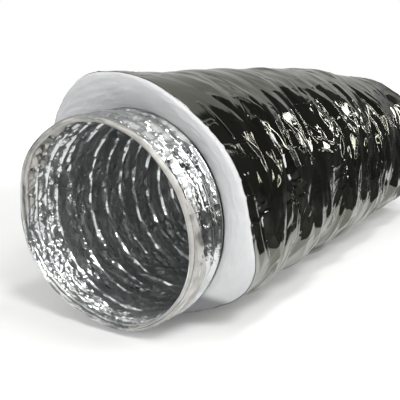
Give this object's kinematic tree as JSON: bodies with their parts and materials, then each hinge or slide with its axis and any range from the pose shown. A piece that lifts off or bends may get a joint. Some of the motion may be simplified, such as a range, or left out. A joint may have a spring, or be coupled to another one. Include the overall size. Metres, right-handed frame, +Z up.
{
  "type": "insulated flexible air duct",
  "caption": "Insulated flexible air duct: wire-ribbed foil core, white insulation and metallised jacket, with the sleeve pulled back from the mouth.",
  "frame": {"origin": "centre of the duct's length and width, on the surface that the jacket's flat foot rests on", "axes": "+X along the duct from the open mouth to the cut rear end, +Z up"},
  "size_m": [0.74, 0.256, 0.253],
  "materials": {
    "core_foil": "bright crumpled foil laminate",
    "spring_wire": "drawn spring steel",
    "insulation": "soft white fibre blanket",
    "jacket_film": "creased metallised film"
  },
  "bodies": {
    "tail": {"inner_film_tail": "core_foil", "outer_film_tail": "core_foil", "insulation_tail": "insulation", "jacket_tail": "jacket_film", "wire_helix": "spring_wire"},
    "aft": {"inner_film_aft": "core_foil", "outer_film_aft": "core_foil", "insulation_aft": "insulation", "jacket_aft": "jacket_film"},
    "middle": {"inner_film_middle": "core_foil", "outer_film_middle": "core_foil", "insulation_middle": "insulation", "jacket_middle": "jacket_film"},
    "fore": {"inner_film_fore": "core_foil", "outer_film_fore": "core_foil", "insulation_fore": "insulation", "jacket_fore": "jacket_film"},
    "mouth": {"inner_film_mouth": "core_foil", "outer_film_mouth": "core_foil", "insulation_mouth": "insulation", "jacket_mouth": "jacket_film"},
    "sleeve_end": {"insulation_pull_back": "insulation", "jacket_pull_back": "jacket_film"}
  },
  "joints": [
    {"name": "stretch_rear", "type": "slide", "parent": "tail", "child": "aft", "axis": [1, 0, 0], "range_m": [-0.01, 0.05], "deforming": ["wire_helix", "inner_film_aft", "outer_film_aft", "insulation_aft", "jacket_aft"]},
    {"name": "bend_side", "type": "hinge", "parent": "aft", "child": "middle", "pos_m": [0.1775, 0, 0.1118], "axis": [0, 0, 1], "range_deg": [-40, 40]},
    {"name": "stretch_front", "type": "slide", "parent": "middle", "child": "fore", "axis": [1, 0, 0], "range_m": [-0.01, 0.05], "deforming": ["inner_film_fore", "outer_film_fore", "insulation_fore", "jacket_fore"]},
    {"name": "bend_up", "type": "hinge", "parent": "fore", "child": "mouth", "pos_m": [-0.1075, 0, 0.1118], "axis": [0, 1, 0], "range_deg": [-40, 40]},
    {"name": "sleeve_pull", "type": "slide", "parent": "mouth", "child": "sleeve_end", "axis": [1, 0, 0], "range_m": [-0.046, 0.05], "deforming": ["insulation_mouth", "jacket_mouth"]}
  ],
  "couplings": [
    {"joint": "stretch_front", "follows": "stretch_rear", "ratio": 1}
  ]
}
